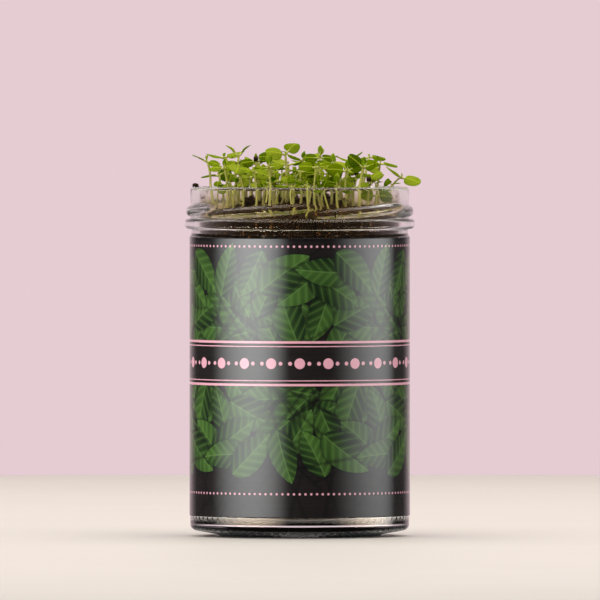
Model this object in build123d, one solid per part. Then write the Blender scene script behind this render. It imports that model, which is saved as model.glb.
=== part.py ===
from build123d import *
from math import atan, cos, degrees, hypot, pi, radians, sin, sqrt, tan
import os

# All sizes are in millimetres and degrees. The origin is the middle of the foot ring, on the
# plane that the jar stands on, with +Z up, -Y to the front and +X to the right of the front.

# Glass jar: body, heel and base
JAR_HEIGHT = 125.0
BODY_WALL = 2.4
FLOOR_THICKNESS = 4.6
INNER_HEEL_R = 6.0
OUTER_HEEL_R = 2.2
HEEL_LIFT = 2.4
FOOT_INSET = 9.9
FOOT_WIDTH = 4.2
FOOT_HEIGHT = 0.6
FOOT_EDGE_R = 0.2
PUSH_UP = 1.0
PUSH_UP_SLOPE = 14.0
PUSH_UP_R = 1.4
SMALL_ROUND = 0.45

# Glass jar: mouth, neck groove and transfer bead. The sides are straight: the body is as wide
# as the mouth and its wall.
MOUTH_D = 72.0
FINISH_WALL = 3.2
LIP_R = 1.2
NECK_INSET = 0.4
NECK_GROOVE = 2.6
NECK_BEVEL = 0.9
NECK_BLEND_R = 10.0
NECK_TAPER = 12.0
BEAD_PROUD = 1.95
BEAD_HEIGHT = 3.6
BEAD_DROP = 11.5
BEAD_R = 1.3

# Six-lug twist-off finish
LUG_COUNT = 6
LUG_PROUD = 1.6
LUG_HEIGHT = 3.6
LUG_DROP = 8.5
LUG_SPAN = 66.0
LUG_LEAD = 18.0
FIRST_LUG = -113.0

# Wrap-round label, from above the heel to just under the shoulder
LABEL_BASE = 7.4
LABEL_TOP_GAP = 0.2
LABEL_THICKNESS = 0.2
LABEL_LAP = 8.0
GLUE_LINE = 0.05

# Growing medium
SOIL_DROP = 11.5
SOIL_CROWN = 6.0
SOIL_CLEARANCE = 0.25
CRUMB_D = 4.4
CRUMB_HEIGHT = 1.8
CRUMB_SIDES = 6
CRUMB_TAPER = 22.0
CRUMB_UNEVEN = 0.3
CRUMB_SKEW = 0.4
CRUMB_SEAT = 0.02
SMALLEST_CRUMB = 0.6
BARE_GAP_EVERY = 3
RIM_CRUMB_D = 2.6
RIM_CRUMB_HEIGHT = 1.4
RIM_CRUMB_AZIMUTHS = (-97.0, -88.0, -80.0)

# Seedlings: stem, root and the bed they stand in
STEM_D = 1.1
ROOT_DEPTH = 9.0
ROOT_TIP_D = 0.5
ROOT_CLEARANCE = 0.15
BED_MARGIN = 5.0
BED_TURN = 9.0
BED_SHIFT_X = 1.0
BED_SHIFT_Y = 4.0
TIER_SHIFT = 3
CANOPY_LIFT = 1.0
CANOPY_SLOPE = 0.06
TIER_RISE = 2.58
HEIGHT_SWING = 0.98
SPREAD = 3.4
LEAF_GAP = 0.4
TALL_SPOT = (-3.0, -14.0)
TALL_RISE = 3.4
OVERHANG_SPOT = (31.0, 2.0)
OVERHANG = 6.0

# Seed leaves, a pair on each seedling. The pairs lie mostly to the left and right of the stem
# and turn their faces to the light at the front.
PETIOLE = 1.4
PETIOLE_WIDTH = 0.9
LEAF_LENGTH = 5.6
LEAF_WIDTH = 7.6
LEAF_THICKNESS = 0.4
LEAF_CORNER_R = 0.9
LEAF_FOLD = 14.0
LIGHT_TILT = 37.0
TILT_SWING = 6.6
LIFT_SWING = 6.7
PAIR_TURN = 13.0
TURN_SWING = 20.6
SMALLEST_LEAF = 0.82

# First true leaves, a pair across the seed leaves of the forward seedling
TRUE_LENGTH = 5.4
TRUE_WIDTH = 2.8
TRUE_LIFT = 44.0
TRUE_RISE = 3.4
SHOOT_D = 0.9
FORWARD_SPOT = (-24.0, -12.0)

# Steps that spread small differences evenly over the plants and the lumps
LIFT_STEP = 0.7549
SIZE_STEP = 0.5698
TILT_STEP = 0.618
TURN_STEP = 0.2634
HEIGHT_STEP = 0.4717
LUMP_STEP = 0.618

# Sizes that follow from those above
mouth_r = MOUTH_D / 2
finish_r = mouth_r + FINISH_WALL
body_r = finish_r
body_in_r = body_r - BODY_WALL
neck_r = finish_r - NECK_INSET
bead_r = finish_r + BEAD_PROUD
lug_r = finish_r + LUG_PROUD
foot_r = body_r - FOOT_INSET
foot_in_r = foot_r - FOOT_WIDTH
bead_top = JAR_HEIGHT - BEAD_DROP
bead_bottom = bead_top - BEAD_HEIGHT
shoulder = bead_bottom - NECK_GROOVE
label_height = shoulder - LABEL_TOP_GAP - LABEL_BASE
soil_edge = JAR_HEIGHT - SOIL_DROP
soil_r = mouth_r - SOIL_CLEARANCE
soil_dome_r = (soil_r**2 + SOIL_CROWN**2) / (2 * SOIL_CROWN)
bed_r = mouth_r - BED_MARGIN
stem_r = STEM_D / 2
leaf_reach = PETIOLE + LEAF_LENGTH
plant_pitch = leaf_reach + stem_r + LEAF_GAP
tiers = 4
lowest_leaves = JAR_HEIGHT + CANOPY_LIFT
highest_leaves = lowest_leaves + TIER_RISE * (tiers - 1)


def spun(points, radii):
    # Solid of revolution from an outline that starts and ends on the axis
    outline = FilletPolyline(*points, radius=radii[1:-1])
    axis_line = Line(points[-1], points[0])
    return revolve(Plane.XZ * make_face([*outline.edges(), axis_line]), Axis.Z)


def glass_shell():
    corners = [
        ((0, PUSH_UP), 0),
        ((foot_in_r - PUSH_UP_SLOPE, PUSH_UP), PUSH_UP_R),
        ((foot_in_r, 0), SMALL_ROUND),
        ((foot_r, 0), SMALL_ROUND),
        ((foot_r, FOOT_HEIGHT), FOOT_EDGE_R),
        ((body_r, HEEL_LIFT), OUTER_HEEL_R),
        ((body_r, shoulder), SMALL_ROUND),
        ((neck_r, shoulder + NECK_BEVEL), SMALL_ROUND),
        ((neck_r, bead_bottom), SMALL_ROUND),
        ((bead_r, bead_bottom), BEAD_R),
        ((bead_r, bead_top), BEAD_R),
        ((finish_r, bead_top), SMALL_ROUND),
        ((finish_r, JAR_HEIGHT), LIP_R),
        ((mouth_r, JAR_HEIGHT), LIP_R),
        ((mouth_r, shoulder), NECK_BLEND_R),
        ((body_in_r, shoulder - NECK_TAPER), NECK_BLEND_R),
        ((body_in_r, FLOOR_THICKNESS), INNER_HEEL_R),
        ((0, FLOOR_THICKNESS), 0),
    ]
    return spun([point for point, _ in corners], [radius for _, radius in corners])


def lug():
    # A lens-shaped rib: part of a ring that leans, stands out in the middle of its span
    # and sinks into the wall of the mouth at both ends
    section_r = (LUG_HEIGHT**2 / 4 + LUG_PROUD**2) / (2 * LUG_PROUD)
    middle = lug_r - section_r
    end = middle - LUG_PROUD
    half_span = radians(LUG_SPAN / 2)
    ring_offset = (middle**2 - end**2) / (2 * (middle - end * cos(half_span)))
    ring_r = middle - ring_offset
    sweep_angle = 2 * degrees(atan(end * sin(half_span) / (end * cos(half_span) - ring_offset)))
    section = Plane.XZ * (Pos(ring_r, 0) * Circle(section_r))
    ring = revolve(section, Axis.Z, revolution_arc=sweep_angle)
    ring = Pos(ring_offset, 0, 0) * (Rot(0, 0, -sweep_angle / 2) * ring)
    bore = Cylinder((mouth_r + finish_r) / 2, 4 * LUG_HEIGHT)
    lean = degrees(atan(LUG_LEAD / (2 * pi * finish_r)))
    return Rot(lean, 0, 0) * (ring - bore)


def glass_jar():
    jar = glass_shell()
    for index in range(LUG_COUNT):
        azimuth = FIRST_LUG + index * 360 / LUG_COUNT
        jar += Pos(0, 0, JAR_HEIGHT - LUG_DROP) * (Rot(0, 0, azimuth) * lug())
    return jar


def wrap_label():
    # A closed wrap whose end laps over its start at the back
    inner = body_r + GLUE_LINE
    outer = inner + LABEL_THICKNESS
    wrap = Circle(outer) - Circle(inner)
    far = 2 * outer
    wedge = make_face(Polyline((0, 0), (0, far), (far * tan(LABEL_LAP / outer), far), close=True))
    lap = (Circle(outer + LABEL_THICKNESS) - Circle(outer)) & wedge
    return Pos(0, 0, LABEL_BASE) * extrude(wrap + lap, label_height)


def soil_height(radius):
    return soil_edge + SOIL_CROWN - soil_dome_r + sqrt(soil_dome_r**2 - radius**2)


def bed_spots():
    # Staggered rows of plants inside the round bed, each with its tier of leaf height.
    # Like tiers are two steps apart, so leaves of one height never meet.
    spots = []
    rows = int(2 * bed_r / plant_pitch) + 1
    turn = radians(BED_TURN)
    for row in range(-rows, rows + 1):
        for column in range(-2 * rows, 2 * rows + 1):
            across = plant_pitch * (column + row / 2)
            along = plant_pitch * row * sqrt(3) / 2
            x = across * cos(turn) - along * sin(turn) + BED_SHIFT_X
            y = across * sin(turn) + along * cos(turn) + BED_SHIFT_Y
            if hypot(x, y) <= bed_r:
                spots.append((x, y, (column % 2 + 2 * (row % 2) + TIER_SHIFT) % tiers))
    return spots


def nearest(spots, target):
    return min(spots, key=lambda spot: hypot(spot[0] - target[0], spot[1] - target[1]))


def folded(blade, length):
    # A thin blade and its stalk, folded down along the midrib
    stalk = Rectangle(length / 2, PETIOLE_WIDTH, align=(Align.MIN, Align.CENTER))
    upper_half = Rectangle(2 * length, 2 * length, align=(Align.CENTER, Align.MIN))
    side = extrude((blade + stalk) & upper_half, -LEAF_THICKNESS)
    side = Rot(-LEAF_FOLD, 0, 0) * side
    return side + mirror(side, about=Plane.XZ)


def seed_leaf():
    # Half-round blade with a straight base
    disc = Pos(leaf_reach - LEAF_WIDTH / 2, 0) * Circle(LEAF_WIDTH / 2)
    front = Pos(PETIOLE, 0) * Rectangle(2 * leaf_reach, 2 * LEAF_WIDTH, align=(Align.MIN, Align.CENTER))
    blade = disc & front
    return folded(fillet(blade.vertices(), LEAF_CORNER_R), leaf_reach)


def true_leaf():
    # Pointed blade between two arcs
    arc_r = (TRUE_LENGTH**2 + TRUE_WIDTH**2) / (4 * TRUE_WIDTH)
    middle = PETIOLE + TRUE_LENGTH / 2
    sides = [Pos(middle, side * (arc_r - TRUE_WIDTH / 2)) * Circle(arc_r) for side in (-1, 1)]
    return folded(sides[0] & sides[1], PETIOLE + TRUE_LENGTH)


def leaf_pair(leaf, lift, turn):
    return [Rot(0, 0, turn + side) * (Rot(0, -lift, 0) * leaf) for side in (0, 180)]


def root():
    return Pos(0, 0, -ROOT_DEPTH / 2) * Cone(ROOT_TIP_D / 2, stem_r, ROOT_DEPTH)


def root_hole():
    # Round hole for a root, open a little above the surface, which slopes across it
    depth = ROOT_DEPTH + ROOT_CLEARANCE
    hole = Cylinder(stem_r + ROOT_CLEARANCE, depth + STEM_D, align=(Align.CENTER, Align.CENTER, Align.MIN))
    return Pos(0, 0, -depth) * hole


def share(index, ratio):
    # An even spread of values from 0 to 1 over the seedlings
    return (index * ratio) % 1


def swing(reach, index, ratio):
    # An even spread of values from -reach to +reach over the seedlings
    return reach * (2 * share(index, ratio) - 1)


def seedling(index, spot, leaf, second_leaf, forward, tall, overhang):
    x, y, tier = spot
    radius = hypot(x, y)
    ground = soil_height(radius)
    top = lowest_leaves + tier * TIER_RISE + CANOPY_SLOPE * y + swing(HEIGHT_SWING, index, HEIGHT_STEP)
    top += TALL_RISE * tall
    lean = SPREAD / bed_r * ((top - ground) / (highest_leaves - soil_edge)) ** 2
    lean += OVERHANG / bed_r * overhang
    size = SMALLEST_LEAF + (1 - SMALLEST_LEAF) * share(index, SIZE_STEP)
    lift = swing(LIFT_SWING, index, LIFT_STEP)
    tilt = LIGHT_TILT + swing(TILT_SWING, index, TILT_STEP)
    turn = 0 if overhang else PAIR_TURN + swing(TURN_SWING, index, TURN_STEP) + 90 * forward
    node = Vector(x * (1 + lean), y * (1 + lean), top)
    base = Vector(x, y, ground)
    tip = node + Vector(0, 0, LEAF_THICKNESS)
    path = TangentArc(base, tip, tangent=(0, 0, 1)) if radius > stem_r else Line(base, tip)
    plant = sweep(Pos(base) * Circle(stem_r), path=path)
    pieces = [Pos(base) * root()]
    sized = scale(leaf, by=size)
    pieces += [Pos(node) * (Rot(tilt, 0, 0) * blade) for blade in leaf_pair(sized, lift, turn)]
    if forward:
        shoot = Pos(node) * Cylinder(SHOOT_D / 2, TRUE_RISE, align=(Align.CENTER, Align.CENTER, Align.MIN))
        shoot_node = node + Vector(0, 0, TRUE_RISE - LEAF_THICKNESS)
        pieces.append(shoot)
        pieces += [Pos(shoot_node) * blade for blade in leaf_pair(second_leaf, TRUE_LIFT, turn + 90)]
    return plant + pieces


def growing_medium(spots):
    corners = [
        ((0, FLOOR_THICKNESS), 0),
        ((body_in_r - SOIL_CLEARANCE, FLOOR_THICKNESS), INNER_HEEL_R),
        ((body_in_r - SOIL_CLEARANCE, shoulder - NECK_TAPER), NECK_BLEND_R),
        ((soil_r, shoulder), NECK_BLEND_R),
        ((soil_r, JAR_HEIGHT), 0),
        ((0, JAR_HEIGHT), 0),
    ]
    column = spun([point for point, _ in corners], [radius for _, radius in corners])
    dome = Pos(0, 0, soil_edge + SOIL_CROWN - soil_dome_r) * Sphere(soil_dome_r)
    hole = root_hole()
    holes = [Pos(x, y, soil_height(hypot(x, y))) * hole for x, y, _ in spots]
    return (column & dome) - holes


def crumb(diameter, height, index):
    # A rough lump with uneven sides, narrower at the top
    corners = []
    for side in range(CRUMB_SIDES):
        reach = diameter / 2 * (1 - CRUMB_UNEVEN * share(index * CRUMB_SIDES + side, LIFT_STEP))
        angle = 2 * pi * (side + CRUMB_SKEW * share(index + side, SIZE_STEP)) / CRUMB_SIDES
        corners.append((reach * cos(angle), reach * sin(angle)))
    return extrude(make_face(Polyline(*corners, close=True)), height, taper=CRUMB_TAPER)


def surface_crumbs(spots):
    # Lumps in the gaps between the plants, flat on the crowned surface
    crumbs = []
    gap_turn = radians(BED_TURN + 30)
    gap_reach = plant_pitch / sqrt(3)
    for index, (x, y, _) in enumerate(spots):
        gap_x = x + gap_reach * cos(gap_turn)
        gap_y = y + gap_reach * sin(gap_turn)
        radius = hypot(gap_x, gap_y)
        if radius < soil_r - CRUMB_D and index % BARE_GAP_EVERY:
            size = SMALLEST_CRUMB + (1 - SMALLEST_CRUMB) * share(index, LUMP_STEP)
            lump = crumb(CRUMB_D * size, CRUMB_HEIGHT * size, index)
            upright = (gap_x, gap_y, sqrt(soil_dome_r**2 - radius**2))
            seat = Plane((gap_x, gap_y, soil_height(radius) + CRUMB_SEAT), z_dir=upright)
            crumbs.append(seat * lump)
    return Compound(children=crumbs)


def rim_crumbs():
    # Lumps of medium left lying on the lip of the jar
    middle = (finish_r + mouth_r) / 2
    crumbs = []
    for index, azimuth in enumerate(RIM_CRUMB_AZIMUTHS):
        place = Pos(middle * sin(radians(azimuth)), -middle * cos(radians(azimuth)), JAR_HEIGHT)
        crumbs.append(place * crumb(RIM_CRUMB_D, RIM_CRUMB_HEIGHT, index))
    return Compound(children=crumbs)


def main():
    os.makedirs("parts", exist_ok=True)
    spots = bed_spots()
    top_spots = [spot for spot in spots if spot[2] == tiers - 1]
    forward_spot = nearest(top_spots, FORWARD_SPOT)
    tall_spot = nearest(top_spots, TALL_SPOT)
    overhang_spot = nearest(spots, OVERHANG_SPOT)
    export_step(glass_jar(), "parts/glass_jar.step")
    export_step(wrap_label(), "parts/wrap_label.step")
    export_step(growing_medium(spots), "parts/growing_medium.step")
    export_step(surface_crumbs(spots), "parts/surface_crumbs.step")
    export_step(rim_crumbs(), "parts/rim_crumbs.step")
    leaf = seed_leaf()
    second_leaf = true_leaf()
    for index, spot in enumerate(spots):
        places = [spot == marked for marked in (forward_spot, tall_spot, overhang_spot)]
        plant = seedling(index, spot, leaf, second_leaf, *places)
        export_step(plant, f"parts/seedling_{index + 1:02d}.step")


main()
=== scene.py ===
import math

import bpy
import numpy as np
from mathutils import Matrix, Vector, noise


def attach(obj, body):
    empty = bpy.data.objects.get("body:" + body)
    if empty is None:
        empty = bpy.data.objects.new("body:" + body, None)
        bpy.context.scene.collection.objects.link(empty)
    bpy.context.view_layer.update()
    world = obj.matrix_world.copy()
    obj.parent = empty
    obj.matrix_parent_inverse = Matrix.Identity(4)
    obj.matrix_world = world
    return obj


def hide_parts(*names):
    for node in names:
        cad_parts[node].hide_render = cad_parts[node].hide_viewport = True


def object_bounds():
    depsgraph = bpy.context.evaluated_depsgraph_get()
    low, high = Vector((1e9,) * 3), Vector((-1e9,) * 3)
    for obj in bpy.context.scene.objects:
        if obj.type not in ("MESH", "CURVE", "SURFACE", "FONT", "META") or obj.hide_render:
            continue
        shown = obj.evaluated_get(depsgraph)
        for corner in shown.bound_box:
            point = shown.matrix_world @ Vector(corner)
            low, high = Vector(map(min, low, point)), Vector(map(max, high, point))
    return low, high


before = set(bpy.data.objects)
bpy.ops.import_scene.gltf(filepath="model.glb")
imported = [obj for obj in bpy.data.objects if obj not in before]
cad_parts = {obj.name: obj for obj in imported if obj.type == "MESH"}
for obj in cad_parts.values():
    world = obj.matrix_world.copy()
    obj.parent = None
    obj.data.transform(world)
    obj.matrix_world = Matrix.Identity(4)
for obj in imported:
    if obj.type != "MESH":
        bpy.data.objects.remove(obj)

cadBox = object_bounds()
mm = 0.001
fullTurn = 2 * math.pi
scene = bpy.context.scene
print("frame loaded:", len(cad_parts), "nodes")


# small helpers for meshes

def makePiece(name, points, faces, materials, faceMaterial=None, numbers=None):
    # points in mm; numbers holds one value per point for the materials to read
    mesh = bpy.data.meshes.new(name)
    mesh.from_pydata((np.asarray(points, dtype=float) * mm).tolist(), [], faces)
    for material in materials:
        mesh.materials.append(material)
    if faceMaterial is not None:
        mesh.polygons.foreach_set("material_index", np.asarray(faceMaterial, dtype=np.int32))
    mesh.polygons.foreach_set("use_smooth", np.ones(len(mesh.polygons), dtype=bool))
    for key, values in (numbers or {}).items():
        values = np.asarray(values, dtype=np.float32)
        kind, field = ("FLOAT_VECTOR", "vector") if values.ndim == 2 else ("FLOAT", "value")
        mesh.attributes.new(key, kind, "POINT").data.foreach_set(field, values.ravel())
    mesh.update()
    piece = bpy.data.objects.new(name, mesh)
    scene.collection.objects.link(piece)
    return piece


def settle(piece, slot, *nodes):
    # every piece stands for its CAD node and rides with the one body
    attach(piece, "root")
    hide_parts(*nodes)
    return piece


def ringSpot(radius, turn, rise):
    return radius * math.cos(turn), radius * math.sin(turn), rise


def frontSpot(radius, azimuth, rise):
    # azimuth counts from the front to the right, in degrees
    turn = math.radians(azimuth)
    return radius * math.sin(turn), -radius * math.cos(turn), rise


def tubeFaces(rings, around, start=0):
    # quads between rings of points laid one after another
    faces = []
    for ring in range(rings - 1):
        low = start + ring * around
        for step in range(around):
            after = (step + 1) % around
            faces.append((low + step, low + after, low + around + after, low + around + step))
    return faces


def skinFaces(rings, around):
    # a tube and a fan at each end, to the foot and top points that follow the rings
    faces = tubeFaces(rings, around)
    foot, last = rings * around, (rings - 1) * around
    for step in range(around):
        after = (step + 1) % around
        faces += [(foot, after, step), (foot + 1, last + step, last + after)]
    return faces


def turnOutline(outline, around):
    # radius, height and angle of each point of an outline turned about the axis
    angles = np.linspace(0, fullTurn, around, endpoint=False)
    across, height = (np.repeat(outline[:, side:side + 1], around, axis=1) for side in (0, 1))
    return across, height, np.repeat(angles[None, :], len(outline), axis=0)


def ringPoints(across, height, turn):
    return np.stack([across * np.cos(turn), across * np.sin(turn), height], axis=-1).reshape(-1, 3)


def roundCorners(corners, arcSteps):
    # corners are (radius from the axis, height, corner radius); tight ones get half the steps
    outline = []
    last = len(corners) - 1
    for index, (across, height, radius) in enumerate(corners):
        here = Vector((across, height))
        if index in (0, last) or radius == 0:
            outline.append((across, height))
            continue
        toBack = (Vector(corners[index - 1][:2]) - here).normalized()
        toNext = (Vector(corners[index + 1][:2]) - here).normalized()
        half = toBack.angle(toNext) / 2
        start = here + toBack * (radius / math.tan(half))
        end = here + toNext * (radius / math.tan(half))
        centre = here + (toBack + toNext).normalized() * (radius / math.sin(half))
        firstAngle = math.atan2(start.y - centre.y, start.x - centre.x)
        sweep = math.atan2(end.y - centre.y, end.x - centre.x) - firstAngle
        sweep = (sweep + math.pi) % fullTurn - math.pi
        steps = arcSteps if radius > 0.5 else arcSteps // 2
        for step in range(steps + 1):
            angle = firstAngle + sweep * step / steps
            outline.append((centre.x + radius * math.cos(angle), centre.y + radius * math.sin(angle)))
    return outline


def fillRuns(outline, stepFor):
    # adds points along the straight runs, as close as stepFor(radius, height) asks
    filled = [outline[0]]
    for start, end in zip(outline, outline[1:]):
        middle = ((start[0] + end[0]) / 2, (start[1] + end[1]) / 2)
        count = max(1, int(math.dist(start, end) / stepFor(*middle)))
        for step in range(1, count + 1):
            share = step / count
            filled.append((start[0] + (end[0] - start[0]) * share, start[1] + (end[1] - start[1]) * share))
    return np.array(filled)


def roughness(points, scale, seed, octaves):
    # fractal noise at each point, about -1 to 1
    shift = Vector((seed, -seed, 2 * seed))
    return np.array([noise.fractal(Vector(p) * scale + shift, 1.0, 2.0, octaves) for p in points])


# small helpers for materials; new nodes go into the tree that lies on the bench

bench = {}


def addNode(kind, **settings):
    node = bench["tree"].nodes.new("ShaderNode" + kind)
    for key, value in settings.items():
        setattr(node, key, value)
    return node


def put(source, socket):
    if isinstance(source, bpy.types.NodeSocket):
        bench["tree"].links.new(source, socket)
    else:
        socket.default_value = source


def fill(node, values):
    for key, value in values.items():
        put(value, node.inputs[key])


def newFinish(name):
    material = bpy.data.materials.new(name)
    material.use_nodes = True
    bench["tree"] = material.node_tree
    bench["tree"].nodes.clear()
    shader = addNode("BsdfPrincipled")
    put(shader.outputs[0], addNode("OutputMaterial").inputs[0])
    return material, shader


def maths(kind, *values, clamp=False):
    node = addNode("Math", operation=kind, use_clamp=clamp)
    for value, socket in zip(values, node.inputs):
        put(value, socket)
    return node.outputs[0]


def plus(total, *others):
    for other in others:
        total = maths("ADD", total, other)
    return total


def times(total, *others):
    for other in others:
        total = maths("MULTIPLY", total, other)
    return total


def minus(first, second):
    return maths("SUBTRACT", first, second)


def ramp(value, low, high, toLow=0.0, toHigh=1.0, smooth=False):
    node = addNode("MapRange", interpolation_type="SMOOTHSTEP" if smooth else "LINEAR")
    for source, socket in zip((value, low, high, toLow, toHigh), node.inputs):
        put(source, socket)
    return node.outputs[0]


def blend(share, first, second):
    node = addNode("Mix", data_type="RGBA")
    put(share, node.inputs[0])
    for source, socket in ((first, node.inputs[6]), (second, node.inputs[7])):
        put(source if isinstance(source, bpy.types.NodeSocket) else (*source, 1.0), socket)
    return node.outputs[2]


def grain(vector, scale, detail, rough, warp=0.0):
    node = addNode("TexNoise")
    fill(node, {"Vector": vector, "Scale": scale, "Detail": detail, "Roughness": rough, "Distortion": warp})
    return node.outputs["Fac"]


def cells(vector, scale):
    node = addNode("TexVoronoi")
    fill(node, {"Vector": vector, "Scale": scale})
    return node.outputs


def stretch(vector, scale):
    node = addNode("Mapping")
    fill(node, {"Vector": vector, "Scale": scale})
    return node.outputs[0]


def bump(shader, height, distance, strength):
    node = addNode("Bump")
    fill(node, {"Strength": strength, "Distance": distance, "Height": height})
    put(node.outputs[0], shader.inputs["Normal"])


def place():
    return addNode("TexCoord").outputs["Object"]


def axes(vector):
    node = addNode("SeparateXYZ")
    put(vector, node.inputs[0])
    return node.outputs


def vectorFrom(**values):
    node = addNode("CombineXYZ")
    fill(node, values)
    return node.outputs[0]


def reading(name, output="Fac"):
    return addNode("Attribute", attribute_name=name).outputs[output]


# glass jar

jarSizes = {
    "height": 125.0, "wall": 2.4, "floor": 4.6, "innerHeel": 6.0, "outerHeel": 2.2, "heelLift": 2.4,
    "footInset": 9.9, "footWidth": 4.2, "footHeight": 0.6, "footEdge": 0.2, "ease": 0.45,
    "pushUp": 1.0, "pushUpSlope": 14.0, "pushUpRound": 1.4, "footRidges": 68, "ridgeDepth": 0.4,
    "mouth": 72.0, "mouthWall": 3.2, "lip": 1.2, "neckInset": 0.4, "groove": 2.6, "bevel": 0.9,
    "blend": 10.0, "taper": 12.0, "beadProud": 1.95, "beadHeight": 3.6, "beadDrop": 11.5, "beadRound": 1.3,
    "lugs": 6, "lugProud": 1.6, "lugHeight": 3.6, "lugDrop": 8.5, "lugSpan": 66.0, "lugLead": 18.0,
    "firstLug": -113.0, "lugFillet": 0.35, "ripple": 0.05,
    "around": 408, "arcSteps": 8, "lugStep": 0.28, "footStep": 0.8, "wallStep": 6.0,
    "ior": 1.5, "gleam": (0.60, 0.48, 0.36), "haze": 0.02, "tint": (0.90, 0.97, 0.94), "tintDensity": 9.0,
    # the brown film colour is dried medium and painted shade in the neck, in one
    "filmAndShade": (0.42, 0.355, 0.12), "filmAndShadeTop": 124.0, "filmAndShadeFoot": 100.0, "filmHaze": 0.13, "leastFilmAndShade": 0.12,
    "smearGrain": 140, "hazeGrain": 55, "waveGrain": 120, "waveDepth": 0.00012,
}
mouthR = jarSizes["mouth"] / 2
jarR = mouthR + jarSizes["mouthWall"]
innerR = jarR - jarSizes["wall"]
beadTop = jarSizes["height"] - jarSizes["beadDrop"]
beadFoot = beadTop - jarSizes["beadHeight"]
shoulder = beadFoot - jarSizes["groove"]


def lugReach(angles, heights):
    # how far the nearest lug's face stands from the axis, per angle and height
    s = jarSizes
    sectionR = (s["lugHeight"] ** 2 / 4 + s["lugProud"] ** 2) / (2 * s["lugProud"])
    middle = jarR + s["lugProud"] - sectionR
    end = middle - s["lugProud"]
    half = math.radians(s["lugSpan"] / 2)
    offset = (middle ** 2 - end ** 2) / (2 * (middle - end * math.cos(half)))
    ringR = middle - offset
    lean = math.atan(s["lugLead"] / (fullTurn * jarR))
    rise = heights - (s["height"] - s["lugDrop"])
    best = np.zeros_like(angles)
    for index in range(s["lugs"]):
        turn = angles - math.radians(s["firstLug"] + index * 360 / s["lugs"])
        turn = (turn + math.pi) % fullTurn - math.pi
        near = np.abs(turn) < half * 1.25
        reach = np.full_like(angles, jarR)
        for _ in range(5):  # the lug leans, so its face is found in a few rounds
            side = reach * np.sin(turn)
            up = rise * math.cos(lean) - side * math.sin(lean)
            along = side * math.cos(lean) + rise * math.sin(lean)
            depth = np.sqrt(np.clip(sectionR ** 2 - up ** 2, 0, None))
            inside = np.abs(up) < sectionR
            out = np.sqrt(np.clip((ringR + depth) ** 2 - along ** 2, 0, None)) + offset
            reach = np.where(near & inside, out / np.maximum(np.cos(turn), 0.2), jarR)
        best = np.maximum(best, np.where(near & inside, reach, 0))
    return best


def glassFinish():
    s = jarSizes
    material, shader = newFinish("clearJarGlass")
    spot = place()
    x, y, z = axes(spot)
    # fine medium has dried on the inside of the neck, thickest just above the bed; its brown film is also
    # painted shade that darkens the neck
    span = addNode("VectorMath", operation="LENGTH")
    put(vectorFrom(X=x, Y=y), span.inputs[0])
    inside = ramp(span.outputs["Value"], (mouthR + 0.6) * mm, (mouthR + 1.0) * mm, 1, 0)
    smear = grain(stretch(spot, (1, 1, 0.6)), s["smearGrain"], 5, 0.65, 0.5)
    edge = plus(z, times(smear, 0.008))
    filmAndShade = ramp(edge, (s["filmAndShadeTop"] - 2.0) * mm, (s["filmAndShadeTop"] + 5.0) * mm, 1.0, s["leastFilmAndShade"], True)
    foot = ramp(z, s["filmAndShadeFoot"] * mm, (s["filmAndShadeFoot"] + 5.0) * mm)
    filmAndShade = times(filmAndShade, foot, inside, ramp(smear, 0.3, 0.65, 0.75, 1.0))
    haze = ramp(grain(spot, s["hazeGrain"], 5, 0.6), 0.55, 0.85, 0.0, s["haze"])
    # the film in the base colour tints the glass: dried medium and painted shade together
    fill(shader, {
        "Base Color": blend(filmAndShade, (1, 1, 1), s["filmAndShade"]), "Transmission Weight": 1.0, "IOR": s["ior"],
        "Specular Tint": (*s["gleam"], 1), "Roughness": plus(haze, times(filmAndShade, s["filmHaze"])),
    })
    wave = grain(stretch(spot, (1, 1, 0.5)), s["waveGrain"], 2, 0.4)
    bump(shader, wave, s["waveDepth"], 0.35)
    mist = addNode("VolumeAbsorption")
    fill(mist, {"Color": (*s["tint"], 1), "Density": s["tintDensity"]})
    put(mist.outputs[0], bench["tree"].nodes["Material Output"].inputs["Volume"])
    return material


def jarSpacing(radius, height):
    # close on the wall that carries the lugs and under the heel
    if radius > jarR - 0.2 and height > beadTop:
        return jarSizes["lugStep"]
    return jarSizes["footStep"] if height < 2.5 else jarSizes["wallStep"]


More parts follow.
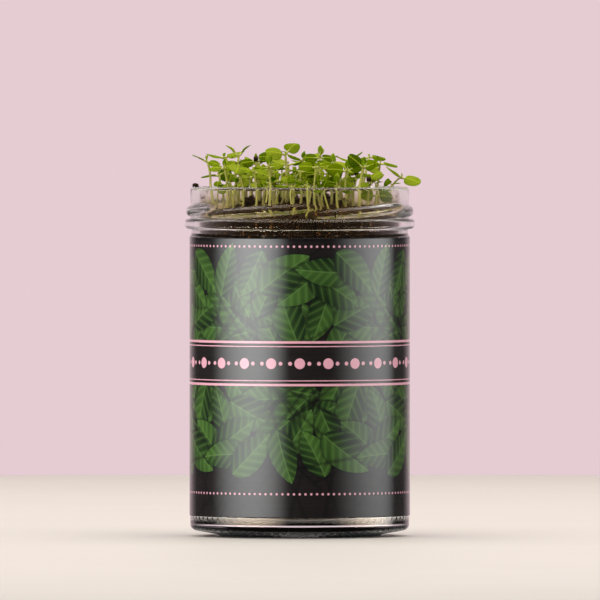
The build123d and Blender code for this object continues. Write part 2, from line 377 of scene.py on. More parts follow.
def buildJar():
    s = jarSizes
    ease = s["ease"]
    footR = jarR - s["footInset"]
    footIn = footR - s["footWidth"]
    neckR, beadR = jarR - s["neckInset"], jarR + s["beadProud"]
    corners = [
        (0, s["pushUp"], 0), (footIn - s["pushUpSlope"], s["pushUp"], s["pushUpRound"]),
        (footIn, 0, ease), (footR, 0, ease), (footR, s["footHeight"], s["footEdge"]),
        (jarR, s["heelLift"], s["outerHeel"]), (jarR, shoulder, ease),
        (neckR, shoulder + s["bevel"], ease), (neckR, beadFoot, ease),
        (beadR, beadFoot, s["beadRound"]), (beadR, beadTop, s["beadRound"]), (jarR, beadTop, ease),
        (jarR, s["height"], s["lip"]), (mouthR, s["height"], s["lip"]), (mouthR, shoulder, s["blend"]),
        (innerR, shoulder - s["taper"], s["blend"]), (innerR, s["floor"], s["innerHeel"]),
        (0, s["floor"], 0),
    ]
    outline = fillRuns(roundCorners(corners, s["arcSteps"]), jarSpacing)[1:-1]
    rings = len(outline)
    across, height, turn = turnOutline(outline, s["around"])
    # lugs, with a small fillet where they leave the wall
    onFinish = (across > jarR - 0.3) & (height > beadTop - 0.2)
    lugs = lugReach(turn, height)
    fillet = s["lugFillet"]
    share = np.clip(0.5 + 0.5 * (lugs - across) / fillet, 0, 1)
    raised = across * (1 - share) + lugs * share + fillet * share * (1 - share)
    across = np.where(onFinish & (lugs > 0), np.maximum(across, raised), across)
    # moulded ribs under the heel, run out on to the foot ring's outer edge
    under = np.clip((across - footR + 1.2) / 0.8, 0, 1) * np.clip((jarR - 0.9 - across) / 1.5, 0, 1)
    under *= np.clip((2.6 - height) / 0.5, 0, 1)
    height = height + (0.5 - 0.5 * np.cos(turn * s["footRidges"])) * s["ridgeDepth"] * under
    # the blown inside isn't quite even
    inside = (np.arange(rings) > rings * 0.6)[:, None] & (across < innerR + 0.2) & (height < shoulder)
    sway = np.sin(3 * turn + height * 0.06) * 0.6 + np.sin(5 * turn - height * 0.11 + 1.3) * 0.4
    across = across + np.where(inside, s["ripple"] * sway * np.clip((across - 20) / 10, 0, 1), 0)
    points = np.vstack([ringPoints(across, height, turn), [[0, 0, s["pushUp"]], [0, 0, s["floor"]]]])
    piece = makePiece("jarGlass", points, skinFaces(rings, s["around"]), [glassFinish()])
    return settle(piece, "jar_glass", "glass_jar")


jarPiece = buildJar()
print("jar blown")


# growing medium

mediumSizes = {
    "bedDrop": 11.5, "crown": 6.0, "clearance": 0.25, "around": 300, "arcSteps": 10, "crownRings": 52,
    "closeStep": 0.45, "wideStep": 5.0, "bareBelow": 9.5, "bareAbove": 104.0,
    "sideRough": 0.75, "topRough": 0.8,
    "dark": (0.0075, 0.0040, 0.0020), "brown": (0.036, 0.0165, 0.0065), "fleck": (0.520, 0.210, 0.060),
    "dry": (0.085, 0.048, 0.018), "dryFrom": 0.1150, "dryTo": 0.1195,
    "broadGrain": 160, "fineGrain": 900, "fibreGrain": 1100, "crumbCells": 620, "chipCells": 1150,
    "gloss": 0.08, "lumpDepth": 0.0006,
    # drawn sizes are the least and the most that is added; heapSpread is width, depth and how far back
    "gapLump": 1.95, "gapLumpShare": (0.6, 0.4),
    "heaped": 30, "heapSize": (1.5, 1.1), "heapSpread": (20, 16, 6),
    "granules": 420, "granuleSize": (0.28, 0.5),
    "splashes": 380, "splashSize": (0.14, 0.30), "splashRise": 8.5, "seed": 11,
    "rimLumps": (-97.0, -88.0, -80.0), "rimLumpSize": 1.12,
    "rimGranules": 26, "rimGranuleSize": (0.16, 0.26), "rimArc": (-104, 32), "rimSpread": 0.9,
}
mediumBed = jarSizes["height"] - mediumSizes["bedDrop"]
mediumR = mouthR - mediumSizes["clearance"]
domeR = (mediumR ** 2 + mediumSizes["crown"] ** 2) / (2 * mediumSizes["crown"])


def bedHeight(radius):
    return mediumBed + mediumSizes["crown"] - domeR + math.sqrt(domeR ** 2 - radius ** 2)


def mediumFinish():
    s = mediumSizes
    material, shader = newFinish("moistMedium")
    spot = place()
    broad = grain(spot, s["broadGrain"], 6, 0.65, 0.4)
    fine = grain(spot, s["fineGrain"], 5, 0.7)
    fibres = grain(stretch(spot, (1.0, 1.0, 0.22)), s["fibreGrain"], 3, 0.6, 1.5)
    chip = cells(stretch(spot, (1.0, 1.0, 1.6)), s["chipCells"])
    colour = blend(ramp(broad, 0.35, 0.7), s["dark"], s["brown"])
    colour = blend(ramp(fine, 0.55, 0.8, 0, 0.75), colour, s["brown"])
    colour = blend(ramp(fibres, 0.64, 0.72, 0, 0.8, True), colour, s["fleck"])
    # the heap is drier and paler than what lies against the glass
    height = plus(axes(spot)[2], times(broad, 0.004))
    colour = blend(ramp(height, s["dryFrom"], s["dryTo"], 0, 0.85), colour, s["dry"])
    chips = times(ramp(chip["Color"], 0.80, 0.84, 0, 0.85), ramp(chip["Distance"], 0.35, 0.5, 1.0, 0.0))
    fill(shader, {
        "Base Color": blend(chips, colour, s["fleck"]),
        "Roughness": ramp(fine, 0.3, 0.8, 0.55, 0.95), "Specular IOR Level": s["gloss"],
    })
    lumps = plus(times(cells(spot, s["crumbCells"])["Distance"], 0.9), fine)
    bump(shader, lumps, s["lumpDepth"], 0.9)
    return material


def lumpShape(centre, size, squash, seed, large):
    # a rough crumb: a ball of points pushed in and out
    goldTurn = math.pi * (3 - math.sqrt(5))
    rings, around = (7, 10) if large else (5, 7)
    points = []
    for ring in range(1, rings):
        tilt = math.pi * ring / rings
        for step in range(around):
            turn = fullTurn * step / around + goldTurn * ring + seed
            points.append(ringSpot(math.sin(tilt), turn, -math.cos(tilt)))
    points = np.array(points + [(0, 0, -1), (0, 0, 1)])
    swell = 1 + 0.34 * roughness(points, 1.3, seed * 3.7, 3)[:, None]
    spin = np.array(Matrix.Rotation(seed * 2.4, 3, "Z"))
    points = (points * swell * np.array([1, 1, squash]) * size) @ spin.T + np.array(centre)
    return points, skinFaces(rings - 1, around)


def gather(shapes):
    # many small shapes in one mesh
    points, faces = [], []
    for shapePoints, shapeFaces in shapes:
        start = len(points)
        points.extend(shapePoints.tolist())
        faces.extend([tuple(start + corner for corner in face) for face in shapeFaces])
    return np.array(points), faces


medium = mediumFinish()


def mediumSpacing(radius, height):
    # close where the bare glass shows the column's side
    bare = height < mediumSizes["bareBelow"] or height > mediumSizes["bareAbove"]
    return mediumSizes["closeStep"] if bare else mediumSizes["wideStep"]


def buildMedium():
    s = mediumSizes
    floor = jarSizes["floor"]
    side = innerR - s["clearance"]
    corners = [
        (0, floor, 0), (side, floor, jarSizes["innerHeel"]),
        (side, shoulder - jarSizes["taper"], jarSizes["blend"]), (mediumR, shoulder, jarSizes["blend"]),
        (mediumR, mediumBed - 0.6, 0), (mediumR - 0.8, mediumBed, 0),
    ]
    outline = fillRuns(roundCorners(corners, s["arcSteps"]), mediumSpacing)[1:]
    crown = [(radius, bedHeight(radius)) for radius in np.linspace(mediumR - 1.4, 0.6, s["crownRings"])]
    outline = np.vstack([outline, crown])
    rings = len(outline)
    points = ringPoints(*turnOutline(outline, s["around"]))
    # crumbly side and top
    coarse = roughness(points, 0.42, 5.0, 3)
    fine = roughness(points, 1.5, 9.0, 3)
    crumbly = np.clip(0.45 + 0.55 * (0.6 * coarse + 0.6 * fine), 0, 1.2)
    onTop = np.repeat(np.arange(rings) >= rings - s["crownRings"], s["around"])
    radius = np.linalg.norm(points[:, :2], axis=1)
    outward = points[:, :2] / np.maximum(radius, 1e-6)[:, None]
    inward = np.where(onTop, 0, s["sideRough"] * crumbly) * (np.hypot(points[:, 0], points[:, 1]) > 5)
    points[:, :2] -= outward * inward[:, None]
    points[:, 2] += np.where(onTop, s["topRough"] * (crumbly - 0.75), 0)
    low = np.repeat(np.arange(rings) < 12, s["around"])
    points[:, 2] = np.where(low, np.maximum(points[:, 2], floor + 0.05), points[:, 2])
    points = np.vstack([points, [[0, 0, floor], [0, 0, bedHeight(0)]]])
    piece = makePiece("mediumColumn", points, skinFaces(rings, s["around"]), [medium])
    return settle(piece, "growing_medium", "growing_medium")


# the stand of seedlings: places, heights and leans as the solids have them

standSizes = {
    "stem": 1.1, "rootDepth": 9.0, "margin": 5.0, "turn": 9.0, "shift": (1.0, 4.0), "tierShift": 3,
    "canopyLift": 1.0, "canopySlope": 0.06, "tierRise": 2.58, "heightSwing": 0.98, "spread": 3.4,
    "petiole": 1.4, "leafLength": 5.6, "leafWidth": 7.6, "leafThickness": 0.4, "leafGap": 0.4, "fold": 14.0,
    "smallest": 0.82, "lightTilt": 37.0, "pairTurn": 13.0,
    "tiltSwing": 6.6, "liftSwing": 6.7, "turnSwing": 20.6,
    "liftStep": 0.7549, "sizeStep": 0.5698, "tiltStep": 0.618, "turnStep": 0.2634, "heightStep": 0.4717,
    "trueLength": 5.4, "trueWidth": 2.8, "trueLift": 44.0, "trueRise": 3.4, "shoot": 0.9,
    "forwardSpot": (-24.0, -12.0), "tallSpot": (-3.0, -14.0), "tallRise": 3.4,
    "overhangSpot": (31.0, 2.0), "overhang": 6.0,
    "pressedSpot": (26.0, -10.0), "pressedLeaf": (27.0, -10.5, 121.6),
}
leafReach = standSizes["petiole"] + standSizes["leafLength"]
plantPitch = leafReach + standSizes["stem"] / 2 + standSizes["leafGap"]
bedR = mouthR - standSizes["margin"]
lowestLeaves = jarSizes["height"] + standSizes["canopyLift"]
highestLeaves = lowestLeaves + 3 * standSizes["tierRise"]


def bedSpots():
    # plants in a turned hexagon pattern, in four tiers
    found = []
    rows = int(2 * bedR / plantPitch) + 1
    turn = math.radians(standSizes["turn"])
    for row in range(-rows, rows + 1):
        for column in range(-2 * rows, 2 * rows + 1):
            across = plantPitch * (column + row / 2)
            along = plantPitch * row * math.sqrt(3) / 2
            x = across * math.cos(turn) - along * math.sin(turn) + standSizes["shift"][0]
            y = across * math.sin(turn) + along * math.cos(turn) + standSizes["shift"][1]
            if math.hypot(x, y) <= bedR:
                found.append((x, y, (column % 2 + 2 * (row % 2) + standSizes["tierShift"]) % 4))
    return found


def nearestSpot(choice, key):
    aim = standSizes[key]
    return min(choice, key=lambda spot: math.hypot(spot[0] - aim[0], spot[1] - aim[1]))


spots = bedSpots()
topSpots = [spot for spot in spots if spot[2] == 3]
forwardSpot = nearestSpot(topSpots, "forwardSpot")
tallSpot = nearestSpot(topSpots, "tallSpot")
overhangSpot = nearestSpot(spots, "overhangSpot")
pressedSpot = nearestSpot(spots, "pressedSpot")


def buildCrumbs():
    # lumps in the gaps between the stems, with fine granules strewn among them
    s = mediumSizes
    rng = np.random.default_rng(s["seed"])
    gap, gapTurn = plantPitch / math.sqrt(3), math.radians(standSizes["turn"] + 30)
    shapes = []

    def drawn(least, more, power=1):
        return least + more * rng.random() ** power

    for index, (x, y, _) in enumerate(spots):
        x, y = x + gap * math.cos(gapTurn), y + gap * math.sin(gapTurn)
        radius = math.hypot(x, y)
        if radius < mediumR - 4.4 and index % 3:
            least, more = s["gapLumpShare"]
            size = least + more * ((index * 0.618) % 1)
            centre = (x, y, bedHeight(radius) + 0.55 * size)
            shapes.append(lumpShape(centre, s["gapLump"] * size, 0.5, index + 0.3, True))
    wide, deep, back = s["heapSpread"]
    for index in range(s["heaped"]):
        x, y = wide * (2 * rng.random() - 1), deep * (2 * rng.random() - 1) + back
        size = drawn(*s["heapSize"])
        centre = (x, y, bedHeight(math.hypot(x, y)) + 0.45 * size)
        shapes.append(lumpShape(centre, size, 0.8, index * 0.71, True))
    for index in range(s["granules"]):
        radius = (mediumR - 1.6) * math.sqrt(rng.random())
        turn = fullTurn * rng.random()
        size = drawn(*s["granuleSize"], 2)
        centre = ringSpot(radius, turn, bedHeight(radius) + 0.25 * size)
        shapes.append(lumpShape(centre, size, 0.75, index * 0.37, False))
    # splashes on the glass above the bed
    for index in range(s["splashes"]):
        turn = fullTurn * rng.random()
        size = drawn(*s["splashSize"], 2)
        centre = ringSpot(mouthR - 0.12 - 0.5 * size, turn, drawn(mediumBed, s["splashRise"], 1.8))
        shapes.append(lumpShape(centre, size, 1.1, index * 0.61, False))
    piece = makePiece("bedCrumbs", *gather(shapes), [medium])
    settle(piece, "growing_medium", "surface_crumbs")
    # crumbs left on the lip
    rim = (mouthR + jarR) / 2
    shapes = []
    for index, azimuth in enumerate(s["rimLumps"]):
        centre = frontSpot(rim, azimuth, jarSizes["height"] + 0.5)
        shapes.append(lumpShape(centre, s["rimLumpSize"], 0.62, index * 1.9 + 0.7, True))
    for index in range(s["rimGranules"]):
        azimuth = drawn(*s["rimArc"])
        reach = rim + s["rimSpread"] * (rng.random() - 0.5)
        size = drawn(*s["rimGranuleSize"])
        centre = frontSpot(reach, azimuth, jarSizes["height"] + 0.4 * size)
        shapes.append(lumpShape(centre, size, 0.8, index * 0.53, False))
    piece = makePiece("rimCrumbs", *gather(shapes), [medium])
    settle(piece, "growing_medium", "rim_crumbs")


buildMedium()
buildCrumbs()
print("medium filled, crumbs strewn")


# seedlings

leafLooks = {
    # the palest leaf tone is partly lighter leaves and partly painted sheen
    "deep": (0.026, 0.050, 0.0004), "middle": (0.105, 0.150, 0.001), "brightAndSheen": (0.280, 0.318, 0.024),
    "rib": (0.310, 0.370, 0.020), "stemLow": (0.680, 0.590, 0.200), "stemHigh": (0.440, 0.460, 0.060),
    "patchGrain": 260, "skinGrain": 900, "streakGrain": 2200,
    "blade": 28, "bladeRings": 6, "stemSides": 9, "stemSteps": 12, "stalkSides": 7, "stalkSteps": 6,
    "seed": 5, "headroom": 3.0,
    "pairTilt": 0.62, "stemFullness": (0.70, 0.94), "raise": (-18, 40),
    "dusted": 0.45, "dustSize": (0.18, 0.36), "seedCoats": (11, 29, 41), "seedCoatSize": 0.62,
    "largeBud": (0.5, 0.8), "smallBud": (0.22, 0.4), "budLift": 56,
    "sproutR": 0.4, "sproutSides": 8, "sproutSteps": 10, "sproutAway": 3.0, "sproutLean": (2.4, 1.6),
    "sproutRise": (6.5, 12.0), "sproutSize": (0.36, 0.6), "sproutSway": 0.6, "pressedSize": 0.78,
}


def bladeFinish():
    s = leafLooks
    material, shader = newFinish("seedLeafSkin")
    spot = place()
    along = reading("alongLeaf")
    flank = maths("ABSOLUTE", reading("acrossLeaf"))
    tone = plus(times(grain(spot, s["patchGrain"], 4, 0.6), 0.35), times(reading("leafTint"), 0.8))
    colour = blend(ramp(tone, 0.1, 0.62), s["deep"], s["middle"])
    # the brightest, palest tone is partly lighter leaves and partly painted sheen, in place of a gloss
    colour = blend(ramp(tone, 0.5, 1.05), colour, s["brightAndSheen"])
    rib = ramp(flank, 0.03, 0.12, 0.75, 0.0, True)
    wave = maths("SINE", minus(times(along, 30.0), times(flank, 14.0)))
    veins = times(ramp(wave, 0.82, 1.0, 0.0, 0.38, True), ramp(flank, 0.15, 0.9, 1.0, 0.25))
    marks = maths("MAXIMUM", rib, veins)
    skin = grain(spot, s["skinGrain"], 3, 0.6)
    fill(shader, {
        "Base Color": blend(marks, colour, s["rib"]), "Roughness": ramp(skin, 0.3, 0.75, 0.34, 0.52),
        "Specular IOR Level": 0.0, "Subsurface Weight": 0.35, "Subsurface Radius": (0.5, 1.0, 0.15),
        "Subsurface Scale": 0.0012,
    })
    bump(shader, minus(times(skin, 0.5), times(marks, 0.8)), 0.00012, 0.8)
    return material


def stemFinish():
    s = leafLooks
    material, shader = newFinish("seedlingStem")
    streak = grain(stretch(place(), (1, 1, 0.12)), s["streakGrain"], 3, 0.6)
    colour = blend(reading("alongLeaf"), s["stemLow"], s["stemHigh"])
    fill(shader, {
        "Base Color": blend(ramp(streak, 0.45, 0.8, 0, 0.4), colour, s["middle"]),
        "Roughness": ramp(streak, 0.3, 0.8, 0.35, 0.55), "Subsurface Weight": 0.5,
        "Subsurface Radius": (0.9, 1.0, 0.35), "Subsurface Scale": 0.0010,
    })
    bump(shader, streak, 0.00008, 0.7)
    return material


bladeSkin = bladeFinish()
stemSkin = stemFinish()


def sweptTube(path, radii, sides):
    # closed tube along a list of points
    path = np.asarray(path, dtype=float)
    points = []
    for index, here in enumerate(path):
        ahead = path[min(index + 1, len(path) - 1)] - path[max(index - 1, 0)]
        ahead = ahead / np.linalg.norm(ahead)
        side = np.cross(ahead, (0.0, 1.0, 0.0) if abs(ahead[1]) < 0.9 else (1.0, 0.0, 0.0))
        side = side / np.linalg.norm(side)
        up = np.cross(side, ahead)
        for step in range(sides):
            turn = fullTurn * step / sides
            points.append(here + radii[index] * (math.cos(turn) * side + math.sin(turn) * up))
    faces = tubeFaces(len(path), sides)
    faces.append(tuple(range(sides - 1, -1, -1)))
    faces.append(tuple(len(points) - sides + step for step in range(sides)))
    return np.array(points), faces


def bladeShape(edge, middle, surface, thickness):
    # closed leaf blade: rings from the middle out to the edge, an upper and an under side
    rings, around = leafLooks["bladeRings"], len(edge)
    edge, centre = np.array(edge), np.array((middle, 0.0))
    flat, shares = [centre[None, :]], [0.0]
    for ring in range(1, rings + 1):
        share = (ring / rings) ** 0.85
        flat.append(centre + (edge - centre) * share)
        shares += [share] * around
    flat = np.vstack(flat)
    lift = surface(flat[:, 0], flat[:, 1])
    body = thickness * (1.0 - 0.75 * np.array(shares) ** 3)
    points = np.vstack([np.column_stack([flat, lift]), np.column_stack([flat, lift - body])])
    under = len(flat)
    rim = 1 + (rings - 1) * around
    faces = []
    for step in range(around):
        after = (step + 1) % around
        faces.append((0, 1 + step, 1 + after))
        faces.append((under, under + 1 + after, under + 1 + step))
        for ring in range(rings - 1):
            a, b = 1 + ring * around + step, 1 + ring * around + after
            faces.append((a, a + around, b + around, b))
            faces.append((under + a, under + b, under + b + around, under + a + around))
        faces.append((rim + step, under + rim + step, under + rim + after, rim + after))
    return points, faces, np.vstack([flat, flat])


def seedLeaf(size, rng):
    # half-round blade with a straight, slightly lobed base and a small notch at the tip
    s = standSizes
    length, width, stalk = 1.08 * s["leafLength"], 0.84 * s["leafWidth"], s["petiole"]
    middle = stalk + 0.45 * length
    lopsided = rng.uniform(-0.10, 0.10)
    notch = rng.uniform(0.0, 0.04)
    lobe = rng.uniform(0.02, 0.10)
    edge = []
    for turn in np.linspace(0, fullTurn, leafLooks["blade"], endpoint=False):
        ahead, aside = math.cos(turn), math.sin(turn)
        power = 2 / (1.8 if ahead >= 0 else 2.3)
        reach = 0.55 * length if ahead >= 0 else 0.45 * length
        x = middle + math.copysign(abs(ahead) ** power, ahead) * reach
        y = math.copysign(abs(aside) ** power, aside) * width / 2 * (1 + lopsided * ahead)
        if ahead < 0:
            x -= lobe * length * abs(aside) ** 2 * abs(ahead)
        away = min(turn, fullTurn - turn)
        x -= notch * length * math.exp(-(away / 0.24) ** 2)
        edge.append((x, y + lopsided * (x - middle)))
    fold = math.tan(math.radians(s["fold"])) * rng.uniform(0.8, 1.6)
    droop = rng.uniform(-0.04, 0.20)
    ripple = rng.uniform(-0.28, 0.28)
    phase = rng.uniform(0, 6.28)

    def surface(x, y):
        run = np.clip((x - stalk) / length, -0.2, 1.1)
        z = -fold * (np.sqrt(y ** 2 + 0.5) - 0.7) - droop * length * run ** 2 + droop * length * 0.35
        z += 0.035 * (np.abs(y) ** 2) * fold - 0.13 * np.exp(-(y / 0.5) ** 2)
        return z + ripple * np.sin(run * 4.0 + phase) * np.sign(y) * np.minimum(np.abs(y) / 2.5, 1)

    points, faces, flat = bladeShape(edge, middle, surface, s["leafThickness"] * 0.85)
    return points * size, faces, flat, (stalk, length, width)


def trueLeaf(size, rng):
    # pointed young leaf with toothed edge and a quilted face
    s = standSizes
    length, width, stalk = s["trueLength"], s["trueWidth"], s["petiole"]
    edge = []
    for turn in np.linspace(0, fullTurn, leafLooks["blade"], endpoint=False):
        run = 0.5 + 0.5 * math.cos(turn)
        swell = (math.sin(math.pi * run ** 0.85)) ** 0.8 if 0 < run < 1 else 0.0
        tooth = 1 + 0.07 * math.sin(turn * 9)
        aside = math.copysign(swell * width / 2 * tooth, math.sin(turn)) if swell else 0.0
        edge.append((stalk + run * length, aside))
    fold = rng.uniform(0.3, 0.6)

    def surface(x, y):
        run = np.clip((x - stalk) / length, 0, 1)
        quilt = 0.07 * np.sin(run * 26) * np.minimum(np.abs(y) / 0.5, 1)
        return fold * (np.sqrt(y ** 2 + 0.09) - 0.3) - 0.05 * length * run ** 2 + quilt

    points, faces, flat = bladeShape(edge, stalk + 0.45 * length, surface, s["leafThickness"] * 0.7)
    return points * size, faces, flat, (stalk, length, width)


def turned(points, lift, turn, roll, tilt, node):
    spin = Matrix.Rotation(tilt, 3, "X") @ Matrix.Rotation(turn, 3, "Z")
    spin = spin @ Matrix.Rotation(-lift, 3, "Y") @ Matrix.Rotation(roll, 3, "X")
    return points @ np.array(spin).T + np.array(node)


def swing(reach, index, step):
    # the same even spread over the plants as the solids have
    return reach * (2 * ((index * step) % 1) - 1)


def buildSeedling(index, spot):
    s, looks = standSizes, leafLooks
    rng = np.random.default_rng(looks["seed"] * 1000 + index)
    overhang, forward, pressed = spot == overhangSpot, spot == forwardSpot, spot == pressedSpot
    x, y, tier = spot
    radius = math.hypot(x, y)
    ground = bedHeight(radius)
    base = np.array((x, y, ground))
    top = lowestLeaves + tier * s["tierRise"] + s["canopySlope"] * y
    top += swing(s["heightSwing"], index, s["heightStep"])
    top += s["tallRise"] * (spot == tallSpot)
    lean = s["spread"] / bedR * ((top - ground) / (highestLeaves - mediumBed)) ** 2
    lean += s["overhang"] / bedR * overhang
    node = np.array((x * (1 + lean), y * (1 + lean), top))
    lift = swing(s["liftSwing"], index, s["liftStep"])
    tilt = math.radians(s["lightTilt"] + swing(s["tiltSwing"], index, s["tiltStep"]))
    size = s["smallest"] + (1 - s["smallest"]) * ((index * s["sizeStep"]) % 1)
    turn = 0.0 if overhang else s["pairTurn"] + swing(s["turnSwing"], index, s["turnStep"]) + 90 * forward
    turn = math.radians(turn)
    tint = rng.uniform(0.05, 0.95)
    allPoints, allFaces, kinds = [], [], []
    numbers = {"acrossLeaf": [], "alongLeaf": [], "leafTint": []}

    def join(points, faces, kind, across=0.0, along=0.0, shade=0.0):
        # kind: 0 blade, 1 stem, 2 medium or seed coat
        start = sum(len(p) for p in allPoints)
        allPoints.append(points)
        allFaces.extend([tuple(start + corner for corner in face) for face in faces])
        kinds.extend([kind] * len(faces))
        for key, values in zip(numbers, (across, along, shade)):
            numbers[key].append(np.broadcast_to(values, (len(points),)))

    # stem: an arc that leaves the bed upright and leans outwards, with a slight bend of its own
    steps, sides = looks["stemSteps"], looks["stemSides"]
    out = radius * lean
    rise = top + s["leafThickness"] - ground
    path = [base + (0, 0, s["rootDepth"] * 0.5 * step / 3) for step in range(-3, 0)]
    for step in range(steps + 1):
        share = step / steps
        if out > 1e-6 and radius > s["stem"] / 2:
            arcR = (out ** 2 + rise ** 2) / (2 * out)
            angle = 2 * math.atan2(out, rise) * share
            along = arcR * (1 - math.cos(angle))
            path.append(base + (x / radius * along, y / radius * along, arcR * math.sin(angle)))
        else:
            path.append(base + (x * lean * share, y * lean * share, rise * share))
    path = np.array(path)
    bends, sway = 3.0 + 3.5 * ((index * 0.73) % 1), 0.3 + 0.55 * ((index * 0.37) % 1)
    wobble = sway * np.sin(np.linspace(0, bends, len(path)) + index)
    wobble *= np.sin(np.linspace(0, math.pi, len(path)))
    path[:, 0] += wobble * math.cos(index * 2.1)
    path[:, 1] += wobble * math.sin(index * 2.1)
    stemR = s["stem"] / 2 * rng.uniform(*looks["stemFullness"])
    radii = [stemR * 0.55, stemR * 0.8, stemR * 1.12] + list(np.linspace(1.08, 0.82, steps + 1) * stemR)
    radii[-1] *= 0.7
    along = np.repeat(np.clip((np.arange(len(path)) - 3) / steps, 0, 1), sides)
    join(*sweptTube(path, radii, sides), 1, 0.0, along, tint)

    def leafPair(maker, scale, pairLift, pairTurn, pairTilt, where, shade, loose):
        # two leaves across the stem's end, each on its stalk; loose sets how freely they aim
        for side in (0, 1):
            grown = scale * rng.uniform(1 - 0.22 * loose, 1.02)
            blade, faces, flat, (stalk, length, width) = maker(grown, rng)
            aim = pairTurn + math.pi * side + rng.uniform(-0.45, 0.45) * loose
            raised = math.radians(pairLift + rng.uniform(*looks["raise"]) * loose)
            roll = rng.uniform(-0.6, 0.6) * loose
            tone = np.clip(shade + rng.uniform(-0.3, 0.3), 0, 1)
            blade = turned(blade, raised, aim, roll, pairTilt, where)
            along = np.clip((flat[:, 0] - stalk) / length, 0, 1)
            join(blade, faces, 0, flat[:, 1] / (width / 2), along, tone)
            if maker is seedLeaf and rng.random() < looks["dusted"]:
                # crumbs of medium lifted up by the leaf
                for grainSeed in rng.uniform(0, 50, rng.integers(1, 4)):
                    spotOn = blade[rng.integers(1, len(blade) // 2)]
                    join(*lumpShape(spotOn, rng.uniform(*looks["dustSize"]), 0.7, grainSeed, False), 2)
            count = looks["stalkSteps"]
            run = np.linspace(0.0, stalk + 0.25 * length, count) * scale
            dip = -0.18 - 0.05 * run / scale
            stalkPath = turned(np.column_stack([run, run * 0, dip]), raised, aim, 0, pairTilt, where)
            thick = np.linspace(0.48, 0.2, count) * scale * (stalk / s["petiole"])
            along = np.repeat(np.linspace(0.9, 1.0, count), looks["stalkSides"])
            join(*sweptTube(stalkPath, thick, looks["stalkSides"]), 1, 0.0, along, tone)

    leafPair(seedLeaf, size, lift, turn, looks["pairTilt"] * tilt, node, tint, 1.0)
    if index in looks["seedCoats"]:
        # split seed coat still stuck between the leaves
        for side in (-1, 1):
            centre = node + (0.4 * side, -0.6, 0.7)
            join(*lumpShape(centre, looks["seedCoatSize"], 1.5, index + side, True), 2)
    if forward:
        shoot = np.array([node + (0, 0, s["trueRise"] * step / 4) for step in range(5)])
        join(*sweptTube(shoot, np.linspace(1.0, 0.72, 5) * s["shoot"] / 2, 8), 1, 0.0, 1.0, tint)
        young = node + (0, 0, s["trueRise"] - s["leafThickness"])
        leafPair(trueLeaf, 0.97, s["trueLift"] - 2, turn + math.pi / 2, 0.0, young, tint, 0.2)
    else:
        # folded bud of the next leaves, kept under the solids' top
        bud = rng.uniform(*looks["largeBud" if index % 3 == 1 else "smallBud"])
        bud = min(bud, (cadBox[1][2] / mm - node[2] - 0.5) / 6.8)
        leafPair(trueLeaf, bud, looks["budLift"], turn + math.pi / 2, 0.0, node + (0, 0, 0.1), 0.75, 0.8)
    if index % 5 or pressed:
        # a weaker sprout from the same pinch of seed, short of the light; one is pressed to the glass
        away = 0.0 if pressed else index * 2.4
        foot = base + looks["sproutAway"] * np.array((math.cos(away), math.sin(away), 0.0))
        foot[2] = bedHeight(math.hypot(foot[0], foot[1]))
        leanX, leanY = looks["sproutLean"]
        tip = foot + (leanX * math.cos(3 * away), leanY * math.sin(3 * away), 0.0)
        tip[2] = min(foot[2] + rng.uniform(*looks["sproutRise"]), lowestLeaves + 1.5)
        tip = np.array(s["pressedLeaf"]) if pressed else tip
        count, sides = looks["sproutSteps"], looks["sproutSides"]
        share = np.linspace(-0.25, 1, count)[:, None]
        path = foot + (tip - foot) * share
        path[:, :2] += looks["sproutSway"] * np.sin(3.1 * share) * (math.sin(away), math.cos(away))
        along = np.repeat(np.clip(share[:, 0], 0, 1) * 0.7, sides)
        join(*sweptTube(path, np.linspace(1.0, 0.7, count) * looks["sproutR"], sides), 1, 0.0, along, tint)
        small = rng.uniform(*looks["sproutSize"])
        if pressed:
            leafPair(seedLeaf, looks["pressedSize"], -4, away, 1.0, tip, 0.6, 0.3)
        else:
            leafPair(seedLeaf, small, 26, away, 0.35, tip, tint, 1.0)
    points = np.vstack(allPoints)
    # nothing stands above the solids or past them at the right
    points[:, 0] = np.minimum(points[:, 0], cadBox[1][0] / mm)
    ceiling, squeeze = cadBox[1][2] / mm - looks["headroom"], looks["headroom"] - 0.1
    above = np.maximum(points[:, 2] - ceiling, 0)
    points[:, 2] = np.minimum(points[:, 2], ceiling + squeeze * np.tanh(above / squeeze))
    numbers = {key: np.concatenate(values) for key, values in numbers.items()}
    skins = [bladeSkin, stemSkin, medium]
    piece = makePiece(f"plant{index + 1:02d}", points, allFaces, skins, kinds, numbers)
    return settle(piece, "seedling", f"seedling_{index + 1:02d}")


greenPieces = [buildSeedling(index, spot) for index, spot in enumerate(spots)]
print("seedlings grown:", len(greenPieces))


# wrap-round label with its printed face

labelSizes = {
    "base": 7.4, "topGap": 0.2, "thickness": 0.2, "glue": 0.05, "lap": 8.0, "around": 300,
    "rowsLow": (0.0, 0.05, 0.15, 0.4, 2.0), "rowsMiddle": 14, "edgeEase": (0.06, 0.02, 0.0),
    "boardDark": (0.0022, 0.0016, 0.0014), "boardLight": (0.0110, 0.0084, 0.0075),
    "joint": (0.001, 0.0008, 0.0007), "boardHeight": 27.0, "boardShift": 71.0,
    "leafDark": (0.002, 0.011, 0.0013), "leafLight": (0.043, 0.105, 0.015),
    "leafVein": (0.085, 0.165, 0.040), "leafRows": 4, "leafColumns": 5, "rowFoot": 11.0, "rowStep": 7.4,
    "leafLength": (17.0, 23.0), "leafWidth": (0.48, 0.58), "seed": 3,
    "repeats": 4, "pink": (0.520, 0.260, 0.312), "middle": 55.0, "bandHalf": 7.6, "thinRule": 1.5,
    "largeDot": 1.9, "smallDot": 0.7, "edgeDot": 0.42, "lowDots": 8.5, "highDots": 3.0,
    "gloss": 0.1, "coat": 0.9, "coatRough": 0.10, "coatIor": 1.35,
}
labelInner = jarR + labelSizes["glue"]
labelOuter = labelInner + labelSizes["thickness"]
labelHeight = shoulder - labelSizes["topGap"] - labelSizes["base"]
